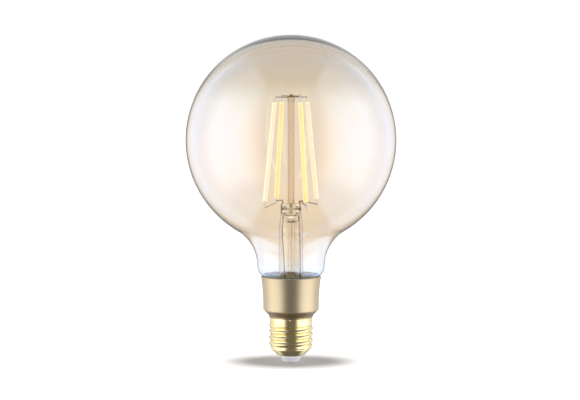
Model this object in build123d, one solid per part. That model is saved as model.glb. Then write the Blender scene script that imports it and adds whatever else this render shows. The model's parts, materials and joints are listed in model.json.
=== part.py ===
from build123d import *
import math
import os

# Large round LED filament lamp with an E27 screw cap, standing on its tip contact.
# Millimetres, +Z along the lamp's axis towards the globe, origin at the underside of
# the centre contact.

# ---- driving dimensions ----------------------------------------------------------

# glass envelope: a sphere, a concave shoulder, a neck that closes in, a throat
lamp_height = 195.0
globe_radius = 62.5
glass_wall = 0.8
shoulder_radius = 25.0
neck_radius = 20.1
neck_roll_radius = 7.0
neck_roll_turn = 60.0
throat_roll_radius = 3.0
throat_foot_z = 43.0

# stem: tube, flared foot and solid press
stem_radius = 7.1
stem_wall = 0.8
flare_roll_radius = 6.4
press_start_z = 79.0
press_shape_z = 88.0
press_top_z = 94.9
press_half_width = 6.2
press_half_depth = 3.2
press_side_round = 2.8
press_edge_round = 0.9
blow_hole_radius = 1.1
blow_hole_ends = [(1.7, -1.2, 82.5), (-0.4, -6.5, 87.6)]

# support rod and exhaust tube
rod_radius = 2.0
rod_top_z = 160.0
rod_top_round = 0.8
exhaust_radius = 2.4
exhaust_wall = 0.8
exhaust_x = 2.4
exhaust_y = -1.4
exhaust_tip_z = 42.6

# filaments: four strips that lean in towards the rod's top
filament_turn = 29.5
filament_top_radius = 11.1
filament_foot_radius = 17.7
filament_top_z = 155.0
filament_foot_z = 96.7
coat_width = 3.0
coat_depth = 2.6
coat_end_round = 0.5
substrate_width = 1.0
substrate_thickness = 0.4
substrate_setback = 1.3
chip_count = 26
chip_length = 0.7
chip_width = 0.35
chip_thickness = 0.12
chip_end_margin = 1.0
pin_width = 0.6
pin_thickness = 0.2

# wires
lead_radius = 0.35
bridge_radius = 0.3
jumper_radius = 0.2
lead_bend = 8.0
hook_bend = 1.4
warm_bridge_z = 159.0
cool_bridge_z = 158.3

# driver collar
collar_foot_z = 27.0
collar_top_z = 51.5
collar_radius = 16.57
collar_wall = 1.0
collar_flare_z = 34.0
collar_flare_radius = 110.0
collar_foot_radius = 13.1
collar_foot_step = 1.1
collar_shoulder_round = 1.0
collar_rim_round = 0.3
collar_inner_rise = 0.7
collar_step_rise = 1.0
sleeve_radius = 12.35
sleeve_wall = 1.2
sleeve_foot_z = 24.2
cement_foot_z = 44.0

# E27 screw shell
sheet = 0.35
crest_radius = 13.1
root_radius = 12.1
thread_pitch = 3.629
thread_start_z = 10.2
thread_end_z = 22.3
thread_run_out = 1.8
thread_sections = 45
crest_left_z = 11.0
skirt_radius = 12.75
bowl_radius = 12.0
bowl_start_z = 8.4
bowl_floor_z = 4.2
bowl_slope_offset = 3.9
bowl_upper_round = 0.7
bowl_lower_round = 1.6
tip_hole_radius = 6.75
stake_count = 10
stake_z = 25.9
stake_radius = 1.1
stake_depth = 0.2

# tip
insulator_radius = 6.65
insulator_tip_radius = 4.7
insulator_foot_z = 0.35
insulator_flange_radius = 7.3
insulator_edge_height = 3.0
insulator_top_z = 5.6
contact_radius = 3.9
contact_edge_round = 0.15
rivet_radius = 1.2
rivet_head_radius = 2.0
rivet_head_height = 0.6

# driver electronics
board_y = 2.5
board_half_width = 10.3
board_thickness = 1.0
board_foot_z = 8.5
board_top_z = 36.5
module_y = 7.4
module_thickness = 0.8
module_half_width = 7.5
module_foot_z = 27.6
module_top_z = 41.6
board_corner = 0.8
part_lead_radius = 0.25
part_lead_drop = 1.2
part_lead_bend = 0.5

capacitor_place = (-5.2, -2.8)
capacitor_radius = 3.9
capacitor_z = (12.0, 24.0)
capacitor_edge_round = 0.5
capacitor_lead_spread = 1.75
capacitor_groove_depth = 0.35
capacitor_groove_rise = (1.6, 2.2)
vent_length = 4.4
vent_width = 0.3

inductor_place = (5.2, -2.8)
inductor_radius = 4.0
inductor_z = (12.0, 22.0)
inductor_flange = 1.5
inductor_post_radius = 1.9
inductor_lead_spread = 1.5
winding_radius = 3.3
winding_turns = 12
winding_groove_depth = 0.15

film_size = (9.0, 4.0)
film_place = (-4.6, -0.9)
film_z = (27.0, 34.0)
film_edge_round = 0.6
film_lead_spread = 2.5

bridge_size = (4.7, 1.5)
bridge_x = 3.5
bridge_z = (12.0, 16.0)
bridge_clearance = 0.3
bridge_foot_rows = (12.4, 14.8)
bridge_foot_size = (0.8, 0.3, 0.8)
bridge_strap_size = (0.6, 1.2, 0.8)

chip_body_size = (4.0, 1.4)
chip_body_z = (19.0, 23.8)
chip_body_clearance = 0.2
chip_leg_size = (1.0, 0.6, 0.4)
chip_leg_rows = (19.3, 20.57, 21.84, 23.1)

transistor_size = (4.5, 1.5)
transistor_z = (31.0, 33.6)
transistor_x = 4.5

resistor_radius = 1.4
resistor_z = (10.4, 17.0)
resistor_edge_round = 0.4
resistor_lead_rise = 1.4

shell_wire_z = 25.4
shell_wire_radius = 0.3
shell_wire_gap_radius = 0.5

shield_size = (10.0, 1.8)
shield_z = (29.0, 38.0)
shield_sheet = 0.3
shield_lid = 0.2

antenna_foil = 0.1
antenna_strip = 0.4
antenna_z = (38.7, 41.0)
antenna_step = 2.0
antenna_turns = 5

module_pin_size = 0.64
module_pin_foot_z = 28.2
module_pin_step = 2.0

# ---- derived places --------------------------------------------------------------

globe_z = lamp_height - globe_radius
shoulder_x = neck_radius + shoulder_radius
neck_z = globe_z - math.sqrt((globe_radius + shoulder_radius) ** 2 - shoulder_x**2)
shoulder_angle = math.degrees(math.atan2(globe_z - neck_z, shoulder_x))
roll_x = neck_radius - neck_roll_radius
throat_x = roll_x + (neck_roll_radius + throat_roll_radius) * math.cos(math.radians(neck_roll_turn))
throat_z = neck_z - (neck_roll_radius + throat_roll_radius) * math.sin(math.radians(neck_roll_turn))
throat_radius = throat_x - throat_roll_radius
stem_bore = stem_radius - stem_wall
flare_x = stem_radius + flare_roll_radius
flare_z = throat_foot_z + flare_roll_radius
lean = math.degrees(
    math.atan2(filament_foot_radius - filament_top_radius, filament_top_z - filament_foot_z)
)
filament_length = math.hypot(
    filament_foot_radius - filament_top_radius, filament_top_z - filament_foot_z
)
substrate_half = filament_length / 2 - substrate_setback
board_back_y = board_y + board_thickness / 2
board_front_y = board_y - board_thickness / 2
module_back_y = module_y + module_thickness / 2
module_front_y = module_y - module_thickness / 2

# azimuths from +X, anticlockwise seen from above
filament_azimuths = {
    "cool_filament_left": 180.0 + filament_turn,
    "warm_filament_left": 90.0 + filament_turn,
    "warm_filament_right": 270.0 + filament_turn,
    "cool_filament_right": filament_turn,
}
upper_pin_reach = {
    "cool_filament_left": 33.3,
    "warm_filament_left": 33.9,
    "warm_filament_right": 34.7,
    "cool_filament_right": 33.3,
}
lower_pin_reach = {
    "cool_filament_left": 34.0,
    "warm_filament_left": 33.2,
    "warm_filament_right": 34.6,
    "cool_filament_right": 33.6,
}


# ---- helpers ---------------------------------------------------------------------


def arc(cx, cz, radius, start, size):
    """An arc in the half plane, by centre, radius and angles in degrees."""
    return CenterArc((cx, cz), radius, start, size)


def lathe(*edges):
    """Turn a closed outline in the XZ half plane round the lamp's axis."""
    return revolve(Plane.XZ * make_face(Curve() + list(edges)), Axis.Z, 360)


def turned(*points):
    """Turn a closed polygon of (radius, height) points round the lamp's axis."""
    return lathe(*Polyline(*points, close=True).edges())


def tube(outer, inner, low, high, x=0.0, y=0.0):
    """A straight upright tube."""
    ring = Circle(outer) - Circle(inner)
    return Pos(x, y, low) * extrude(ring, high - low)


def rod(radius, low, high, x=0.0, y=0.0):
    """A straight upright round bar."""
    return Pos(x, y, low) * extrude(Circle(radius), high - low)


def block(size_x, size_y, low, high, x=0.0, y=0.0):
    """An upright box by its width, depth and the heights of its two ends."""
    return Pos(x, y, (low + high) / 2) * Box(size_x, size_y, high - low)


def wire(radius, points, bends):
    """Round wire: straight runs joined by tangent arcs."""
    path = FilletPolyline(*points, radius=bends) if bends else Polyline(*points)
    return sweep(Plane(path @ 0, z_dir=path % 0) * Circle(radius), path=path)


def polar(radius, azimuth, z):
    """A point by its distance from the axis, azimuth in degrees and height."""
    angle = math.radians(azimuth)
    return (radius * math.cos(angle), radius * math.sin(angle), z)


def filament_frame(azimuth):
    """Frame at a filament's middle: X points outwards, Z up along the strip."""
    middle_radius = (filament_top_radius + filament_foot_radius) / 2
    middle_z = (filament_top_z + filament_foot_z) / 2
    tilt = math.radians(lean)
    outward = (math.cos(math.radians(azimuth)), math.sin(math.radians(azimuth)))
    along = (-math.sin(tilt) * outward[0], -math.sin(tilt) * outward[1], math.cos(tilt))
    across = (math.cos(tilt) * outward[0], math.cos(tilt) * outward[1], math.sin(tilt))
    return Plane(origin=polar(middle_radius, azimuth, middle_z), x_dir=across, z_dir=along)


def strip_radius(z):
    """Distance of a filament's middle line from the axis at a height."""
    share = (z - filament_foot_z) / (filament_top_z - filament_foot_z)
    return filament_foot_radius + share * (filament_top_radius - filament_foot_radius)


def behind_pin(name):
    """Everything outwards of a filament pin's inner face, used to trim wires flush."""
    reach = 2 * coat_width + 2 * coat_depth
    outward = Pos(reach / 2 - pin_thickness / 2, 0, 0) * Box(reach, reach, 2 * filament_length)
    return filament_frame(filament_azimuths[name]) * outward


# ---- glass -----------------------------------------------------------------------


def glass_line(inset):
    """The envelope's meridian from the pole to the foot of the throat, set inwards."""
    return [
        arc(0, globe_z, globe_radius - inset, -shoulder_angle, 90 + shoulder_angle),
        arc(shoulder_x, neck_z, shoulder_radius + inset, 180 - shoulder_angle, shoulder_angle),
        arc(roll_x, neck_z, neck_roll_radius - inset, -neck_roll_turn, neck_roll_turn),
        arc(throat_x, throat_z, throat_roll_radius + inset, 180 - neck_roll_turn, neck_roll_turn),
        Line((throat_radius - inset, throat_z), (throat_radius - inset, throat_foot_z)),
    ]


def glass_globe():
    pole = Line((0, lamp_height), (0, lamp_height - glass_wall))
    foot = Line((throat_radius, throat_foot_z), (throat_radius - glass_wall, throat_foot_z))
    return lathe(*glass_line(0), *glass_line(glass_wall), pole, foot)


def stem_flare():
    """Stem tube with a flared foot under the throat and a solid, flattened press."""
    rim_z = throat_foot_z - stem_wall
    foot = lathe(
        Line((stem_radius, press_start_z), (stem_radius, flare_z)),
        arc(flare_x, flare_z, flare_roll_radius, 180, 90),
        Line((flare_x, throat_foot_z), (throat_radius, throat_foot_z)),
        Line((throat_radius, throat_foot_z), (throat_radius, rim_z)),
        Line((throat_radius, rim_z), (flare_x, rim_z)),
        arc(flare_x, flare_z, flare_roll_radius + stem_wall, 180, 90),
        Line((stem_bore, flare_z), (stem_bore, press_start_z)),
        Line((stem_bore, press_start_z), (stem_radius, press_start_z)),
    )
    blade = RectangleRounded(2 * press_half_width, 2 * press_half_depth, press_side_round)
    sections = Sketch() + [Pos(0, 0, press_start_z) * Circle(stem_radius)]
    shoulder = loft([sections.face(), (Pos(0, 0, press_shape_z) * blade).face()])
    press = Pos(0, 0, press_shape_z) * extrude(blade, press_top_z - press_shape_z)
    press = fillet(press.edges().group_by(Axis.Z)[-1], press_edge_round)
    hollow = Pos(0, 0, press_start_z) * Sphere(stem_bore)
    blow_hole = wire(blow_hole_radius, blow_hole_ends, None)
    return foot + (shoulder + press - hollow) - blow_hole


def exhaust_tube(stem):
    """Exhaust tube from the press's hollow down to its sealed round tip."""
    body = rod(exhaust_radius, exhaust_tip_z + exhaust_radius, press_shape_z, exhaust_x, exhaust_y)
    tip = Pos(exhaust_x, exhaust_y, exhaust_tip_z + exhaust_radius) * Sphere(exhaust_radius)
    bore_radius = exhaust_radius - exhaust_wall
    bore = rod(bore_radius, exhaust_tip_z + exhaust_radius, press_shape_z, exhaust_x, exhaust_y)
    bore_tip = Pos(exhaust_x, exhaust_y, exhaust_tip_z + exhaust_radius) * Sphere(bore_radius)
    in_hollow = rod(stem_bore, 0, press_start_z)
    in_hollow += Pos(0, 0, press_start_z) * Sphere(stem_bore)
    return (body + tip - bore - bore_tip) & in_hollow


def support_rod():
    body = rod(rod_radius, press_top_z, rod_top_z)
    return fillet(body.edges().group_by(Axis.Z)[-1], rod_top_round)


# ---- wires -----------------------------------------------------------------------


def pin_point(name, z):
    return polar(strip_radius(z), filament_azimuths[name], z)


def common_lead_wire():
    foot = (-3.0, board_y, board_top_z - lead_radius)
    route = [foot, (-5.2, 0.4, 78.0), (-4.8, 0.0, 88.0), (-4.8, 0.2, 96.8)]
    route.append(pin_point("warm_filament_left", 95.0))
    return wire(lead_radius, route, [lead_bend, lead_bend, hook_bend]) - behind_pin("warm_filament_left")


def warm_lead_wire():
    foot = (6.0, board_y, board_top_z - lead_radius)
    route = [foot, (5.3, 0.8, 78.0), (4.9, -1.1, 88.0), (4.9, -1.2, 97.0)]
    route.append(pin_point("warm_filament_right", 94.4))
    return wire(lead_radius, route, [lead_bend, lead_bend, hook_bend]) - behind_pin("warm_filament_right")


def cool_lead_wire():
    foot = (8.4, board_y, board_top_z - lead_radius)
    route = [foot, (4.7, 3.0, 53.0), (4.4, 3.1, 78.0), (4.8, 1.3, 88.0), (4.8, 1.2, 96.6)]
    route.append(pin_point("cool_filament_right", 93.5))
    bends = [lead_bend, lead_bend, lead_bend, hook_bend]
    return wire(lead_radius, route, bends) - behind_pin("cool_filament_right")


def common_jumper_wire():
    ends = [pin_point("warm_filament_left", 93.9), pin_point("cool_filament_left", 92.8)]
    trimmed = wire(jumper_radius, ends, None) - behind_pin("warm_filament_left")
    return trimmed - behind_pin("cool_filament_left")


def bridge_wire(left, right, z):
    ends = [pin_point(left, z), pin_point(right, z)]
    return wire(bridge_radius, ends, None) - behind_pin(left) - behind_pin(right)


# ---- filaments -------------------------------------------------------------------


def filament(name):
    """Phosphor coat, substrate, chips and two pins of one LED strip, placed."""
    frame = filament_frame(filament_azimuths[name])
    half = filament_length / 2
    outline = Ellipse(coat_depth / 2, coat_width / 2)
    coat = Pos(0, 0, -half) * extrude(outline, filament_length)
    ends = coat.edges().group_by(Axis.Z)
    coat = fillet(ends[0] + ends[-1], coat_end_round)
    substrate = Box(substrate_thickness, substrate_width, 2 * substrate_half)
    chip_x = (substrate_thickness + chip_thickness) / 2
    chip_pitch = 2 * (substrate_half - chip_end_margin) / (chip_count - 1)
    places = [
        Location((chip_x, 0, (index - (chip_count - 1) / 2) * chip_pitch))
        for index in range(chip_count)
    ]
    chip = Box(chip_thickness, chip_width, chip_length)
    chips = Compound(children=[place * chip for place in places])
    upper = upper_pin_reach[name]
    lower = lower_pin_reach[name]
    upper_pin = block(pin_thickness, pin_width, substrate_half, upper)
    lower_pin = block(pin_thickness, pin_width, -lower, -substrate_half)
    coat = coat - substrate - upper_pin - lower_pin - [place * chip for place in places]
    return {
        name + "_coat": frame * coat,
        name + "_substrate": frame * substrate,
        name + "_chips": frame * chips,
        name + "_upper_pin": frame * upper_pin,
        name + "_lower_pin": frame * lower_pin,
    }


# ---- driver collar and cement ----------------------------------------------------


def flare_angle(z, radius):
    """Angle on the collar's flare arc, whose centre lies outside, at a height."""
    return math.degrees(math.asin((z - collar_flare_z) / radius))


def collar_line(z, inset):
    """Collar radius at a height on the flare, set inwards."""
    radius = collar_flare_radius + inset
    return collar_radius + collar_flare_radius - math.sqrt(radius**2 - (z - collar_flare_z) ** 2)


def flare_arc(low, high, inset):
    """The collar's flare between two heights, set inwards."""
    radius = collar_flare_radius + inset
    start = 180 - flare_angle(high, radius)
    size = flare_angle(high, radius) - flare_angle(low, radius)
    return arc(collar_radius + collar_flare_radius, collar_flare_z, radius, start, size)


def collar_housing():
    corner_z = collar_foot_z + collar_foot_step
    slope_top_z = corner_z + collar_radius - collar_foot_radius
    inner = collar_radius - collar_wall
    inner_corner_z = slope_top_z + collar_inner_rise
    sleeve_bore = sleeve_radius - sleeve_wall
    inner_step_z = inner_corner_z - (inner - sleeve_bore) + collar_step_rise
    top_inner = collar_line(collar_top_z, collar_wall)
    outline = [
        flare_arc(collar_flare_z, collar_top_z, 0),
        Line((collar_line(collar_top_z, 0), collar_top_z), (top_inner, collar_top_z)),
        flare_arc(collar_flare_z, collar_top_z, collar_wall),
        *Polyline(
            (inner, collar_flare_z),
            (inner, inner_corner_z),
            (inner - (inner_corner_z - inner_step_z), inner_step_z),
            (sleeve_bore, inner_step_z),
            (sleeve_bore, sleeve_foot_z),
            (sleeve_radius, sleeve_foot_z),
            (sleeve_radius, collar_foot_z),
            (collar_foot_radius, collar_foot_z),
            (collar_foot_radius, corner_z),
            (collar_radius, slope_top_z),
            (collar_radius, collar_flare_z),
        ).edges(),
    ]
    body = lathe(*outline)
    rings = body.edges().filter_by(GeomType.CIRCLE)
    shoulder = [
        ring
        for ring in rings
        if abs(ring.radius - collar_radius) < 0.01 and abs(ring.center().Z - slope_top_z) < 0.01
    ]
    body = fillet(shoulder, collar_shoulder_round)
    body = fillet(body.edges().group_by(Axis.Z)[-1], collar_rim_round)
    wire_gap = Rot(0, 90, 0) * Cylinder(shell_wire_gap_radius, 4 * sleeve_wall)
    return body - Pos(-sleeve_radius, board_y, shell_wire_z) * wire_gap


def glass_cement():
    """Ring of cement between the glass throat and the collar."""
    return lathe(
        flare_arc(cement_foot_z, throat_z, collar_wall),
        Line((collar_line(throat_z, collar_wall), throat_z), (throat_radius, throat_z)),
        Line((throat_radius, throat_z), (throat_radius, cement_foot_z)),
        Line(
            (throat_radius, cement_foot_z),
            (collar_line(cement_foot_z, collar_wall), cement_foot_z),
        ),
    )


# ---- cap -------------------------------------------------------------------------


def bowl(inset):
    """Solid inside the shell's rounded foot, set inwards by inset."""
    slope = inset * math.sqrt(2) - bowl_slope_offset
    radius = bowl_radius - inset
    floor = bowl_floor_z + inset
    side = FilletPolyline(
        (radius, bowl_start_z),
        (radius, radius + slope),
        (floor - slope, floor),
        (0, floor),
        radius=[bowl_upper_round - inset, bowl_lower_round - inset],
    )
    return lathe(
        *side.edges(),
        Line((0, floor), (0, bowl_start_z)),
        Line((0, bowl_start_z), (radius, bowl_start_z)),
    )


def eased(share):
    """A share from 0 to 1 that starts and ends with no slope."""
    share = min(max(share, 0.0), 1.0)
    return share * share * (3 - 2 * share)


def thread_section(z, inset):
    """Disc inside the threaded wall at a height, off centre towards the crest."""
    foot = eased((z - bowl_start_z) / (thread_start_z - bowl_start_z))
    top = eased((z - thread_end_z) / thread_run_out)
    mean = (crest_radius + root_radius) / 2
    radius = bowl_radius + foot * (mean - bowl_radius) + top * (skirt_radius - mean)
    throw = (crest_radius - root_radius) / 2 * foot * (1 - top)
    crest_azimuth = 180.0 + 360.0 * (z - crest_left_z) / thread_pitch
    return Pos(*polar(throw, crest_azimuth, z)) * Circle(radius - inset)


def shell_slabs(inset):
    """Bowl, threaded wall and skirt as solids inside the shell, set inwards by inset."""
    skirt_start_z = thread_end_z + thread_run_out
    step = (skirt_start_z - bowl_start_z) / (thread_sections - 1)
    heights = [bowl_start_z + step * index for index in range(thread_sections)]
    thread = loft([thread_section(z, inset).face() for z in heights])
    skirt = rod(skirt_radius - inset, skirt_start_z, collar_foot_z)
    return [bowl(inset), thread, skirt]


def screw_shell():
    bowl_wall, thread_wall, skirt_wall = [
        outer - inner for outer, inner in zip(shell_slabs(0), shell_slabs(sheet))
    ]
    tip_hole = rod(tip_hole_radius, 0, bowl_floor_z + 2 * sheet)
    stake_reach = skirt_radius + stake_radius - stake_depth
    dents = [
        Pos(*polar(stake_reach, 360.0 * (index - 0.3) / stake_count, stake_z))
        * Sphere(stake_radius)
        for index in range(stake_count)
    ]
    return (bowl_wall - tip_hole) + thread_wall + (skirt_wall - dents)


def base_insulator():
    return turned(
        (rivet_radius, insulator_foot_z),
        (insulator_tip_radius, insulator_foot_z),
        (insulator_radius, insulator_foot_z + insulator_edge_height),
        (insulator_radius, bowl_floor_z + sheet),
        (insulator_flange_radius, bowl_floor_z + sheet),
        (insulator_flange_radius, insulator_top_z),
        (rivet_radius, insulator_top_z),
    )


def centre_contact():
    disc = rod(contact_radius, 0, insulator_foot_z)
    disc = fillet(disc.edges().group_by(Axis.Z)[0], contact_edge_round)
    shank = rod(rivet_radius, insulator_foot_z, insulator_top_z)
    head_top_z = insulator_top_z + rivet_head_height
    return disc + shank + rod(rivet_head_radius, insulator_top_z, head_top_z)


# ---- driver electronics ----------------------------------------------------------


def board(half_width, thickness, low, high, y):
    blank = block(2 * half_width, thickness, low, high, 0, y)
    return chamfer(blank.edges().filter_by(Axis.Y), board_corner)


def leaded(body, place, spread, foot_z):
    """Add two leads that turn back from a part's foot into the board's front face."""
    x, y = place
    turn_z = foot_z - part_lead_drop
    for side in (-spread, spread):
        route = [(x + side, y, foot_z), (x + side, y, turn_z), (x + side, board_front_y, turn_z)]
        body = body + wire(part_lead_radius, route, [part_lead_bend])
    return body


def electrolytic_capacitor():
    x, y = capacitor_place
    low, high = capacitor_z
    can = rod(capacitor_radius, low, high, x, y)
    rims = can.edges().group_by(Axis.Z)
    can = fillet(rims[0] + rims[-1], capacitor_edge_round)
    groove_low, groove_high = [low + rise for rise in capacitor_groove_rise]
    groove_radius = capacitor_radius - capacitor_groove_depth
    groove = tube(capacitor_radius + 1, groove_radius, groove_low, groove_high, x, y)
    vent = [
        Pos(x, y, high) * Rot(0, 0, turn) * Box(vent_length, vent_width, vent_width)
        for turn in (45, 135)
    ]
    return leaded(can - groove - vent, capacitor_place, capacitor_lead_spread, low)


def inductor_core():
    x, y = inductor_place
    low, high = inductor_z
    post = rod(inductor_post_radius, low + inductor_flange, high - inductor_flange, x, y)
    lower = rod(inductor_radius, low, low + inductor_flange, x, y)
    upper = rod(inductor_radius, high - inductor_flange, high, x, y)
    return leaded(lower + post + upper, inductor_place, inductor_lead_spread, low)


def inductor_winding():
    x, y = inductor_place
    low = inductor_z[0] + inductor_flange
    high = inductor_z[1] - inductor_flange
    step = (high - low) / winding_turns
    coil = tube(winding_radius, inductor_post_radius, low, high, x, y)
    groove_radius = winding_radius - winding_groove_depth
    starts = [low + step * (index + 0.7) for index in range(winding_turns - 1)]
    grooves = [
        tube(winding_radius + 1, groove_radius, start, start + 0.3 * step, x, y)
        for start in starts
    ]
    return coil - grooves


def film_capacitor():
    body = block(*film_size, *film_z, *film_place)
    body = fillet(body.edges(), film_edge_round)
    return leaded(body, film_place, film_lead_spread, film_z[0])


def bridge_rectifier():
    """Moulded body lifted off the board's back on four bent feet."""
    width, depth = bridge_size
    body_y = board_back_y + bridge_clearance + depth / 2
    body = block(width, depth, *bridge_z, bridge_x, body_y)
    foot_width, foot_depth, foot_height = bridge_foot_size
    strap_width, strap_depth, strap_height = bridge_strap_size
    foot_x = (width + foot_width) / 2
    strap_x = (width + strap_width) / 2
    for side in (-1, 1):
        for z in bridge_foot_rows:
            foot_y = board_back_y + foot_depth / 2
            strap_y = board_back_y + strap_depth / 2
            body += block(
                foot_width, foot_depth, z, z + foot_height, bridge_x + side * foot_x, foot_y
            )
            body += block(
                strap_width, strap_depth, z, z + strap_height, bridge_x + side * strap_x, strap_y
            )
    return body


def driver_chip():
    """Eight-legged moulded package on the board's back."""
    width, depth = chip_body_size
    body_y = board_back_y + chip_body_clearance + depth / 2
    body = block(width, depth, *chip_body_z, 0, body_y)
    leg_width, leg_depth, leg_height = chip_leg_size
    leg_x = (width + leg_width) / 2 - 0.1
    leg_y = board_back_y + leg_depth / 2
    legs = [
        block(leg_width, leg_depth, z, z + leg_height, side * leg_x, leg_y)
        for side in (-1, 1)
        for z in chip_leg_rows
    ]
    return body + legs


def dimming_transistors():
    """Two separate packages flat on the board's back."""
    width, depth = transistor_size
    y = board_back_y + depth / 2
    return [block(width, depth, *transistor_z, x, y) for x in (-transistor_x, transistor_x)]


def fusible_resistor():
    low, high = resistor_z
    body = fillet(rod(resistor_radius, low, high).edges(), resistor_edge_round)
    turn_z = high + resistor_lead_rise
    route = [(0, 0, high), (0, 0, turn_z), (0, board_front_y, turn_z)]
    return body + wire(part_lead_radius, route, [part_lead_bend])


def contact_wire():
    return rod(part_lead_radius, insulator_top_z + rivet_head_height, resistor_z[0])


def shell_wire():
    """Short wire from the board's edge to the inside of the screw shell."""
    centre_x = -(board_half_width + skirt_radius) / 2
    run = Pos(centre_x, board_y, shell_wire_z) * Rot(0, 90, 0) * Cylinder(
        shell_wire_radius, skirt_radius - board_half_width
    )
    beside_board = block(2 * skirt_radius, 2, shell_wire_z - 1, shell_wire_z + 1, 0, board_y)
    beside_board -= block(2 * board_half_width, 2, 0, collar_top_z, 0, board_y)
    inside_shell = rod(skirt_radius - sheet, shell_wire_z - 1, shell_wire_z + 1)
    return run & beside_board & inside_shell


def wifi_shield():
    """Open-backed sheet metal can over the module's circuit."""
    width, depth = shield_size
    low, high = shield_z
    can = block(width, depth, low, high, 0, module_back_y + depth / 2)
    can = fillet(can.edges().group_by(Axis.Y)[-1], shield_sheet)
    inner_depth = depth - shield_lid
    inner_width = width - 2 * shield_sheet
    inner_y = module_back_y + inner_depth / 2
    return can - block(inner_width, inner_depth, low + shield_sheet, high - shield_sheet, 0, inner_y)


def wifi_antenna():
    """Meandering antenna strip near the module's upper edge."""
    low, high = antenna_z
    y = module_back_y + antenna_foil / 2
    first_x = -antenna_step * antenna_turns / 2
    strip = block(antenna_strip, antenna_foil, low, high, first_x, y)
    for index in range(antenna_turns):
        x = first_x + antenna_step * index
        strip += block(antenna_strip, antenna_foil, low, high, x + antenna_step, y)
        link_z = high - antenna_strip if index % 2 == 0 else low
        link_x = x + antenna_step / 2
        strip += block(
            antenna_step + antenna_strip, antenna_foil, link_z, link_z + antenna_strip, link_x, y
        )
    return strip


def module_pins():
    gap = module_front_y - board_back_y
    y = (module_front_y + board_back_y) / 2
    top_z = module_pin_foot_z + module_pin_size
    return [
        block(module_pin_size, gap, module_pin_foot_z, top_z, module_pin_step * index, y)
        for index in range(-2, 3)
    ]


# ---- assembly --------------------------------------------------------------------

main_board = board(board_half_width, board_thickness, board_foot_z, board_top_z, board_y)
wires = {
    "common_lead_wire": common_lead_wire() - main_board,
    "warm_lead_wire": warm_lead_wire() - main_board,
    "cool_lead_wire": cool_lead_wire() - main_board,
    "common_jumper_wire": common_jumper_wire(),
    "warm_bridge_wire": bridge_wire("warm_filament_left", "warm_filament_right", warm_bridge_z),
    "cool_bridge_wire": bridge_wire("cool_filament_left", "cool_filament_right", cool_bridge_z),
}
leads = [wires["common_lead_wire"], wires["warm_lead_wire"], wires["cool_lead_wire"]]
bridges = [wires["warm_bridge_wire"], wires["cool_bridge_wire"]]
stem = stem_flare() - leads

nodes = {
    "glass_globe": glass_globe(),
    "stem_flare": stem,
    "exhaust_tube": exhaust_tube(stem),
    "support_rod": support_rod() - bridges,
    **wires,
    "collar_housing": collar_housing(),
    "glass_cement": glass_cement(),
    "screw_shell": screw_shell(),
    "base_insulator": base_insulator(),
    "centre_contact": centre_contact(),
    "driver_board": main_board,
    "electrolytic_capacitor": electrolytic_capacitor(),
    "inductor_core": inductor_core(),
    "inductor_winding": inductor_winding(),
    "film_capacitor": film_capacitor(),
    "bridge_rectifier": bridge_rectifier(),
    "driver_chip": driver_chip(),
    "dimming_transistors": Compound(children=dimming_transistors()),
    "fusible_resistor": fusible_resistor(),
    "contact_wire": contact_wire(),
    "shell_wire": shell_wire(),
    "wifi_board": board(
        module_half_width, module_thickness, module_foot_z, module_top_z, module_y
    ),
    "wifi_shield": wifi_shield(),
    "wifi_antenna": wifi_antenna(),
    "module_pins": Compound(children=module_pins()),
}
for filament_name in filament_azimuths:
    nodes.update(filament(filament_name))

os.makedirs("parts", exist_ok=True)
for node_name, shape in nodes.items():
    export_step(shape, f"parts/{node_name}.step")
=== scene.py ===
import json
import math

import bmesh
import bpy
import numpy as np
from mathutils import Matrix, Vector


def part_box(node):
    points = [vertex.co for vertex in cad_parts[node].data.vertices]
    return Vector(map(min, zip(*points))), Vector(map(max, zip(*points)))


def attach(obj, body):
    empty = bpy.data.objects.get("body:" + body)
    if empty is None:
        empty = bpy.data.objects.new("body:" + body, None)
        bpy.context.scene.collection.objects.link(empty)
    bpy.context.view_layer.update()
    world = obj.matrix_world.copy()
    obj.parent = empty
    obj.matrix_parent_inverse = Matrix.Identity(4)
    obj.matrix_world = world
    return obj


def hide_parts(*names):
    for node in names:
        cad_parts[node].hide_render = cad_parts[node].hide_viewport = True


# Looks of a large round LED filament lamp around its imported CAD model. Sizes and outlines
# are in millimetres and become metres when a mesh is made. -Y faces the camera.

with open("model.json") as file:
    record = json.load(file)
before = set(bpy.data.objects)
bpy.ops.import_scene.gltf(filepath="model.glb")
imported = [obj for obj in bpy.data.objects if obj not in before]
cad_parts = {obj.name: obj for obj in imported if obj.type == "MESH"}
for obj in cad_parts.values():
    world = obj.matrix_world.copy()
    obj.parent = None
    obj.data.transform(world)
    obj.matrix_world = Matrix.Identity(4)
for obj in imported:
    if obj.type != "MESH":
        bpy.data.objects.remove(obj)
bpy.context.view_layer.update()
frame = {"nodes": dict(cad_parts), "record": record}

MM = 0.001


def box_mm(node):
    """Lowest and highest corner of a CAD node in millimetres."""
    low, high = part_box(node)
    return low / MM, high / MM


# ---- sizes, from the frame where it has them --------------------------------------

globe_low, globe_high = box_mm("glass_globe")
collar_low, collar_high = box_mm("collar_housing")
shell_low, shell_high = box_mm("screw_shell")
insulator_low, insulator_high = box_mm("base_insulator")
_, contact_high = box_mm("centre_contact")
_, stem_high = box_mm("stem_flare")
rod_low, rod_high = box_mm("support_rod")
exhaust_low, exhaust_high = box_mm("exhaust_tube")

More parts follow.
